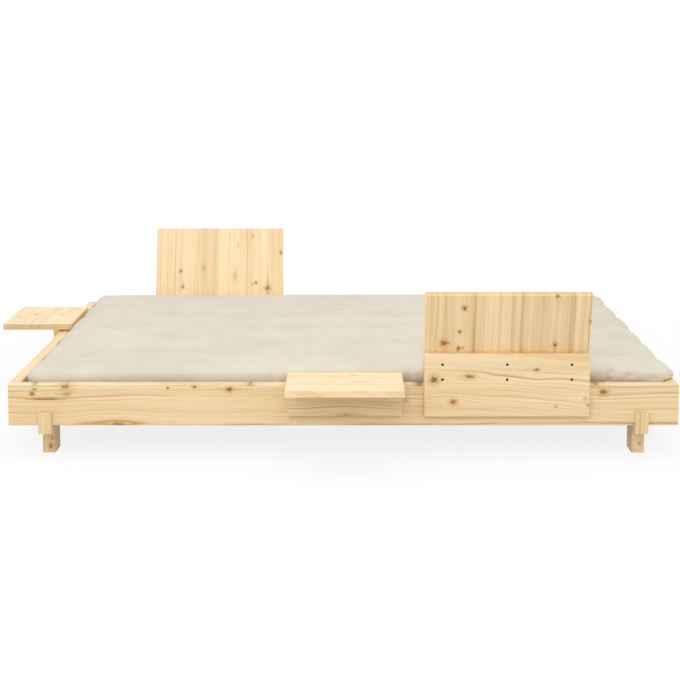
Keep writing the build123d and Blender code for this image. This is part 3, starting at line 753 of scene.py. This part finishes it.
def kept_clear(verts):
    """Hold the fabric inside the rails, the tables' cleats and the leaning backrests' tracks."""
    x, y, z = verts[:, 0], verts[:, 1], np.maximum(verts[:, 2], FOOT)
    front, back = reach_allowed(x, z)
    y = np.clip(y, -front, back)
    overhang = np.sqrt(np.clip((z - RAIL_TOP - 0.0008) / 0.004, 0, 1))
    x = np.clip(x, -0.9885, 0.9982 + 0.0325 * overhang)
    return np.stack([x, y, z], axis=1)


def cotton():
    """Unbleached cotton canvas: painted shade in the smile-shaped folds before the tufts, slubby yarns and a
    fine plain weave.
    """
    g = Graph("futon_cotton_canvas")
    x = g.dot(g.point, AXES["x"])
    y = g.dot(g.point, AXES["y"])
    z = g.dot(g.point, AXES["z"])
    cloud = g.noise(g.point, 5.0, 3.0, 0.55)
    slub_x = g.noise(g.join(g.times(x, 45.0), g.times(y, 520.0), g.times(z, 520.0)), 1.0, 2.0)
    slub_y = g.noise(g.join(g.times(x, 520.0), g.times(y, 45.0), g.times(z, 45.0)), 1.0, 2.0)
    colour = g.mix(g.smooth(cloud, 0.35, 0.7), linear(218, 210, 194), linear(211, 203, 186))
    colour = g.mix(g.smooth(slub_x, 0.58, 0.8, 0.0, 0.35), colour, linear(201, 189, 164))
    colour = g.mix(g.smooth(slub_y, 0.58, 0.8, 0.0, 0.25), colour, linear(236, 230, 216))
    # Painted shade: a darker tone laid along a smile-shaped fold before each tuft, where the dipping cloth
    # turns away from the light.
    crease_shade = None
    for offset_x, offset_y in ((0.0, 0.0), (0.5 * TUFT_PITCH_X, TUFT_PITCH_Y)):
        u = g.math("WRAP", g.minus(x, TUFT_CENTRE_X + offset_x), 0.5 * TUFT_PITCH_X, -0.5 * TUFT_PITCH_X)
        v = g.math("WRAP", g.minus(y, offset_y), TUFT_PITCH_Y, -TUFT_PITCH_Y)
        drift = g.plus(g.times(g.minus(cloud, 0.5), 0.05), 0.010)
        bow = g.plus(g.minus(v, g.times(g.times(u, u), 4.6)), drift)
        along_fold = g.smooth(g.math("ABSOLUTE", u), 0.105, 0.02)
        crease_shade_mark = g.times(along_fold, g.smooth(g.math("ABSOLUTE", bow), 0.028, 0.004))
        crease_shade = crease_shade_mark if crease_shade is None else g.most(crease_shade, crease_shade_mark)
    crease_shade = g.times(crease_shade, g.smooth(z, 0.250, 0.258))
    # Mix the painted fold shade into the cloth colour.
    colour = g.mix(g.times(crease_shade, 0.34), colour, linear(186, 176, 152))
    weave = g.plus(g.math("SINE", g.times(g.plus(x, z), 2 * math.pi / 0.0016)),
                   g.math("SINE", g.times(g.plus(y, z), 2 * math.pi / 0.0016)))
    height = g.plus(g.times(weave, 0.15), g.plus(slub_x, slub_y))
    crumple = g.noise(g.join(g.times(x, 9.0), g.times(y, 24.0), g.times(z, 16.0)), 1.0, 4.0, 0.55)
    normal = g.bump(height, 0.35, 0.0006, g.bump(crumple, 0.4, 0.006))
    return g.finish(colour, g.smooth(slub_x, 0.3, 0.8, 0.86, 0.98), normal,
                    Sheen_Weight=0.18, Sheen_Roughness=0.5, Specular_IOR_Level=0.2)


def read_vectors(collection, key):
    values = np.zeros(len(collection) * 3)
    collection.foreach_get(key, values)
    return values.reshape(-1, 3)


def stuffed(verts, faces, foot_ring, top_count):
    """Let the case swell as cloth under a little pressure, tied down at its tufts and at its foot."""
    obj = build_object("futon_cloth", verts, faces, cotton_material)
    held = obj.vertex_groups.new(name="held")
    tied = np.where(tuft_distance(verts[:top_count, 0], verts[:top_count, 1]) < 0.014)[0]
    held.add([int(i) for i in tied], 1.0, "REPLACE")
    held.add([int(i) for i in foot_ring], 1.0, "REPLACE")
    modifier = obj.modifiers.new("stuffing", "CLOTH")
    cloth = modifier.settings
    cloth.quality = 6
    cloth.mass = 0.25
    cloth.tension_stiffness = 20
    cloth.compression_stiffness = 20
    cloth.shear_stiffness = 5
    cloth.bending_stiffness = 0.4
    cloth.tension_damping = 12
    cloth.compression_damping = 12
    cloth.shear_damping = 12
    cloth.air_damping = 6
    cloth.use_pressure = True
    cloth.uniform_pressure_force = 4.0
    cloth.shrink_min = -0.012
    cloth.vertex_group_mass = "held"
    cloth.effector_weights.gravity = 0.0
    modifier.collision_settings.use_collision = False
    modifier.collision_settings.use_self_collision = False
    modifier.point_cache.frame_start = 1
    modifier.point_cache.frame_end = 24
    for step in range(1, 21):
        bpy.context.scene.frame_set(step)
    graph = bpy.context.evaluated_depsgraph_get()
    moved = read_vectors(obj.evaluated_get(graph).data.vertices, "co")
    bpy.context.scene.frame_set(1)
    bpy.data.objects.remove(obj)
    change = moved - verts
    reach = np.linalg.norm(change, axis=1, keepdims=True)
    change *= np.minimum(1.0, 0.022 / np.maximum(reach, 1e-9))
    before = np.percentile(verts[:top_count, 2], 96)
    after = np.percentile((verts + change)[:top_count, 2], 96)
    share = float(np.clip((CREST - before) / max(after - before, 1e-6), 0.1, 1.0))
    return verts + change * share


def subdivided(verts, faces):
    """The same skin with every face split once."""
    obj = build_object("futon_finer", verts, faces, cotton_material)
    modifier = obj.modifiers.new("finer", "SUBSURF")
    modifier.levels = 1
    graph = bpy.context.evaluated_depsgraph_get()
    mesh = obj.evaluated_get(graph).data
    points = read_vectors(mesh.vertices, "co")
    quads = np.array([tuple(polygon.vertices) for polygon in mesh.polygons])
    bpy.data.objects.remove(obj)
    return points, quads


def outward_normals(points, quads):
    """The mean normal of the faces round each point."""
    cross = np.cross(points[quads[:, 2]] - points[quads[:, 0]], points[quads[:, 3]] - points[quads[:, 1]])
    total = np.zeros_like(points)
    for corner in range(4):
        np.add.at(total, quads[:, corner], cross)
    return total / np.maximum(np.linalg.norm(total, axis=1, keepdims=True), 1e-12)


def open_ring(quads):
    """The loop of points along the open foot of the skin."""
    edges = np.concatenate([quads[:, [a, (a + 1) % 4]] for a in range(4)])
    _, first, uses = np.unique(np.sort(edges, axis=1), axis=0, return_index=True, return_counts=True)
    following = {int(b): int(a) for a, b in edges[first[uses == 1]]}
    ring = [next(iter(following))]
    while following[ring[-1]] != ring[0]:
        ring.append(following[ring[-1]])
    return ring


# Gathers where the case is drawn together at its front: place, half width, depth and the heights it spans
GATHERS = [
    (0.8300, 0.0096, 0.0120, 0.215, 0.262), (0.8390, 0.0112, 0.0060, 0.248, 0.276),
    (0.8610, 0.0112, 0.0056, 0.246, 0.276), (0.8950, 0.0128, 0.0056, 0.236, 0.270),
    (0.9290, 0.0128, 0.0036, 0.240, 0.270), (0.9620, 0.0144, 0.0040, 0.230, 0.264),
    (-0.7650, 0.0104, 0.0028, 0.226, 0.268), (-0.7490, 0.0104, 0.0026, 0.222, 0.264),
    (-0.6200, 0.0128, 0.0024, 0.226, 0.264), (-0.2250, 0.0112, 0.0040, 0.218, 0.260),
    (0.2050, 0.0112, 0.0040, 0.218, 0.264),
]


def creased(points, normals):
    """Press the folds of the tied cloth into the stuffed form."""
    x, y, z = points[:, 0], points[:, 1], points[:, 2]
    push = np.zeros(len(x))
    top = eased(z, 0.248, 0.262) * np.clip(normals[:, 2], 0, 1)

    # a smiling fold in front of every tuft
    for number, (tuft_x, tuft_y) in enumerate(TUFTS):
        one, two, three = (float(hashed(np.float64(number), np.float64(turn), 3.0)) for turn in (1, 2, 3))
        u = x - tuft_x - 0.010 * one
        v = y - tuft_y + 0.012 - (4.6 + 1.6 * two) * u * u
        reach = np.exp(-(u / (0.070 + 0.018 * three)) ** 4)
        push -= top * reach * (0.0115 + 0.0030 * one) * bell(v, 0.0115)
        push += top * reach * 0.0050 * bell(v + 0.026, 0.015)

    # shallow folds that bow away between neighbours of one row
    for number, (tuft_x, tuft_y) in enumerate(TUFTS):
        one, two = (float(hashed(np.float64(number), np.float64(turn), 8.0)) for turn in (1, 2))
        s = (x - tuft_x - 0.03) / (TUFT_PITCH_X - 0.06)
        inside = np.clip(s, 0, 1)
        bow = (0.050 + 0.022 * one) * 4 * inside * (1 - inside)
        reach = np.where((s > 0) & (s < 1), np.sin(np.pi * inside) ** 0.4, 0.0)
        push -= top * reach * (0.0038 + 0.0014 * two) * bell(y - tuft_y - bow, 0.012)
        push += top * reach * 0.0022 * bell(y - tuft_y - bow + 0.026, 0.016)

    # long slack wrinkles that run with the length
    slack = 1 - np.abs(field(x * 2.1 + 3.0, y * 15.0 + 0.8 * field(x * 1.3, y * 2.0, 4.0), 11.0))
    push += top * 0.0026 * (slack ** 3 - 0.4) * (0.6 + 0.4 * field(x * 1.7, y * 3.0, 13.0))

    # upright gathers on the front
    front = np.clip(-normals[:, 1], 0, 1) * eased(z, 0.205, 0.222) * (y < 0)
    for place, width, depth, low, high in GATHERS:
        reach = eased(z, low - 0.010, low + 0.006) * (1 - eased(z, high - 0.008, high + 0.008))
        lean = (z - low) * 0.12
        push -= np.clip(front * 1.6, 0, 1) * depth * reach * bell(x - place - lean, width)
        push += np.clip(front * 1.6, 0, 1) * depth * 0.4 * reach * bell(x - place - lean - 2.2 * width, width)
    small = 1 - np.abs(field(x * 30.0, z * 9.0, 17.0))
    push -= front * 0.0009 * small ** 4 * (0.6 + 0.4 * field(x * 3.0, 0.0 * x, 19.0))
    shaped = points + normals * push[:, None]

    # the ends scallop where the rows of tufts pull them in
    rows = np.arange(-2, 3) * TUFT_PITCH_Y
    drawn = sum(bell(y - row - 0.012 * float(hashed(np.float64(row * 9), 1.0, 5.0)), 0.040) for row in rows)
    right = eased(x, 0.900, 1.000) * eased(z, 0.222, 0.240)
    left = eased(-x, 0.900, 0.975) * eased(z, 0.222, 0.240)
    ripple = 0.003 * field(y * 9.0, 0.0 * y, 23.0)
    shaped[:, 0] += right * (0.003 - 0.007 * drawn + ripple) + left * (0.004 * drawn - ripple)
    shaped[:, 2] -= (right * 0.0035 + left * 0.0050) * drawn
    return shaped


cotton_material = cotton()
case, case_faces, foot_ring, top_count = futon_mesh()
case = sewn_form(case)
case = stuffed(case, case_faces, foot_ring, top_count)
points, quads = subdivided(kept_clear(drawn_in(case)), case_faces)
points = kept_clear(creased(points, outward_normals(points, quads)))
futon = build_object("futon", points, [*quads, open_ring(quads)], cotton_material)
for polygon in futon.data.polygons:
    polygon.use_smooth = len(polygon.vertices) == 4
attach(futon, "mattress")
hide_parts("futon_mattress")


# Tufts: a knot of yarn over a small felt disc at each tie
def tuft_object(places):
    verts, faces = [], []
    sides = 14
    profile = [(0.0075, -0.0020), (0.0078, 0.0004), (0.0062, 0.0016), (0.0036, 0.0022), (0.0020, 0.0034)]
    for number, (x, y) in enumerate(places):
        near = np.hypot(points[:, 0] - x, points[:, 1] - y) + np.where(points[:, 2] < 0.24, 1.0, 0.0)
        base = float(points[near.argmin(), 2])
        spin = hashed(np.float64(number), 1.0, 9.0) * math.pi
        start = len(verts)
        for radius, height in profile:
            for side in range(sides):
                turn = 2 * math.pi * side / sides + spin
                wobble = 1 + 0.10 * math.sin(turn * 5 + number)
                out = radius * wobble
                verts.append((x + out * math.cos(turn), y + out * math.sin(turn), base + height))
        for level in range(len(profile) - 1):
            for side in range(sides):
                a = start + level * sides + side
                b = start + level * sides + (side + 1) % sides
                faces.append((a, b, b + sides, a + sides))
        faces.append(tuple(start + (len(profile) - 1) * sides + side for side in range(sides)))
        faces.append(tuple(start + side for side in reversed(range(sides))))
    return verts, faces


def felt():
    """Cotton yarn and felt of the tufts, a little warmer than the case."""
    g = Graph("tuft_cotton_yarn")
    strand = g.noise(g.point, 700.0, 3.0)
    colour = g.mix(g.smooth(strand, 0.35, 0.7), linear(226, 217, 198), linear(198, 186, 162))
    rough = g.smooth(strand, 0.3, 0.7, 0.85, 0.98)
    return g.finish(colour, rough, g.bump(strand, 0.8, 0.0006), Sheen_Weight=0.2)


tuft_verts, tuft_faces = tuft_object(tuft_places)
tufts = build_object("futon_tufts", tuft_verts, tuft_faces, felt())
for polygon in tufts.data.polygons:
    polygon.use_smooth = True
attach(tufts, "mattress")
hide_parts("mattress_tufts")


# Floor, light and camera
FLOOR_HALF = 30
FLOOR_BOUNCE = (0.62, 0.61, 0.59, 1.0)
FLOOR_SEEN = (0.93, 0.93, 0.93, 1.0)
CLEAR_FROM, CLEAR_TO, NEAR_CLEARING = 1.0, 2.6, 0.84
SKY_COLOUR = (1.0, 0.99, 0.975, 1.0)
SKY_STRENGTH = 0.87
PAPER_WHITE = (1.0, 1.0, 1.0, 1.0)


def chosen_by_ray(tree, cast, seen):
    """Lights the bed with one shader and shows another to the camera, mirrors and glass."""
    path = tree.nodes.new("ShaderNodeLightPath")
    looks = path.outputs["Is Camera Ray"]
    for ray in ("Is Glossy Ray", "Is Transmission Ray"):
        either = tree.nodes.new("ShaderNodeMath")
        either.operation = "MAXIMUM"
        tree.links.new(looks, either.inputs[0])
        tree.links.new(path.outputs[ray], either.inputs[1])
        looks = either.outputs[0]
    choose = tree.nodes.new("ShaderNodeMixShader")
    tree.links.new(looks, choose.inputs[0])
    tree.links.new(cast, choose.inputs[1])
    tree.links.new(seen, choose.inputs[2])
    return choose.outputs[0]


def floor_material():
    """Pale floor: white to the eye with the bed's shadow kept, quieter in what it throws back."""
    material = bpy.data.materials.new("studio_floor")
    material.use_nodes = True
    tree = material.node_tree
    tree.nodes.clear()
    output = tree.nodes.new("ShaderNodeOutputMaterial")
    bounce = tree.nodes.new("ShaderNodeBsdfDiffuse")
    bounce.inputs["Color"].default_value = FLOOR_BOUNCE
    shaded = tree.nodes.new("ShaderNodeBsdfDiffuse")
    shaded.inputs["Color"].default_value = FLOOR_SEEN
    glow = tree.nodes.new("ShaderNodeEmission")
    glow.inputs["Color"].default_value = PAPER_WHITE
    glow.inputs["Strength"].default_value = 1.0
    place = tree.nodes.new("ShaderNodeTexCoord")
    distance = tree.nodes.new("ShaderNodeVectorMath")
    distance.operation = "LENGTH"
    fade = tree.nodes.new("ShaderNodeMapRange")
    fade.interpolation_type = "SMOOTHSTEP"
    for socket, number in zip(fade.inputs[1:5], (CLEAR_FROM, CLEAR_TO, NEAR_CLEARING, 1.0)):
        socket.default_value = number
    blend = tree.nodes.new("ShaderNodeMixShader")
    tree.links.new(place.outputs["Object"], distance.inputs[0])
    tree.links.new(distance.outputs["Value"], fade.inputs[0])
    tree.links.new(fade.outputs[0], blend.inputs[0])
    tree.links.new(shaded.outputs[0], blend.inputs[1])
    tree.links.new(glow.outputs[0], blend.inputs[2])
    chosen = chosen_by_ray(tree, bounce.outputs[0], blend.outputs[0])
    tree.links.new(chosen, output.inputs["Surface"])
    return material


def studio_sky():
    """Soft light from all round, white where it is looked at."""
    world = bpy.data.worlds.new("studio")
    world.use_nodes = True
    tree = world.node_tree
    tree.nodes.clear()
    output = tree.nodes.new("ShaderNodeOutputWorld")
    shaders = []
    for colour, strength in ((SKY_COLOUR, SKY_STRENGTH), (PAPER_WHITE, 1.0)):
        background = tree.nodes.new("ShaderNodeBackground")
        background.inputs["Color"].default_value = colour
        background.inputs["Strength"].default_value = strength
        shaders.append(background.outputs[0])
    tree.links.new(chosen_by_ray(tree, *shaders), output.inputs["Surface"])
    return world


floor_corners = [(-FLOOR_HALF, -FLOOR_HALF, 0), (FLOOR_HALF, -FLOOR_HALF, 0),
                 (FLOOR_HALF, FLOOR_HALF, 0), (-FLOOR_HALF, FLOOR_HALF, 0)]
floor = build_object("studio_floor", floor_corners, [(0, 1, 2, 3)], floor_material())
bpy.context.scene.world = studio_sky()


BED_CENTRE = (0.0, 0.0, 0.2)
LENS_MM, LENS_SHIFT = 79.754, (-0.00906, -0.20)
EYE = (0.0084, -5.2905, 1.2780)
EYE_PITCH = 6.170


def area_light(name, place, size, power):
    """A white softbox that points at the bed."""
    data = bpy.data.lights.new(name, "AREA")
    data.shape = "RECTANGLE"
    data.size, data.size_y = size
    data.energy = power
    lamp = bpy.data.objects.new(name, data)
    lamp.location = place
    lamp.rotation_mode = "QUATERNION"
    lamp.rotation_quaternion = (Vector(BED_CENTRE) - Vector(place)).to_track_quat("-Z", "Y")
    bpy.context.scene.collection.objects.link(lamp)


area_light("overhead_softbox", (0.0, -0.6, 4.2), (3.4, 2.0), 30.0)
area_light("front_softbox", (-0.6, -4.6, 2.6), (3.6, 1.8), 58.0)

lens = bpy.data.cameras.new("photograph_view")
lens.sensor_width = 36.0
lens.lens = LENS_MM
lens.shift_x, lens.shift_y = LENS_SHIFT
lens.clip_start = 0.05
lens.clip_end = 100.0
camera = bpy.data.objects.new("photograph_view", lens)
camera.location = EYE
camera.rotation_mode = "XYZ"
camera.rotation_euler = (math.radians(90 - EYE_PITCH), 0.0, 0.0)
bpy.context.scene.collection.objects.link(camera)
bpy.context.scene.camera = camera
bpy.context.scene.view_settings.view_transform = "Standard"
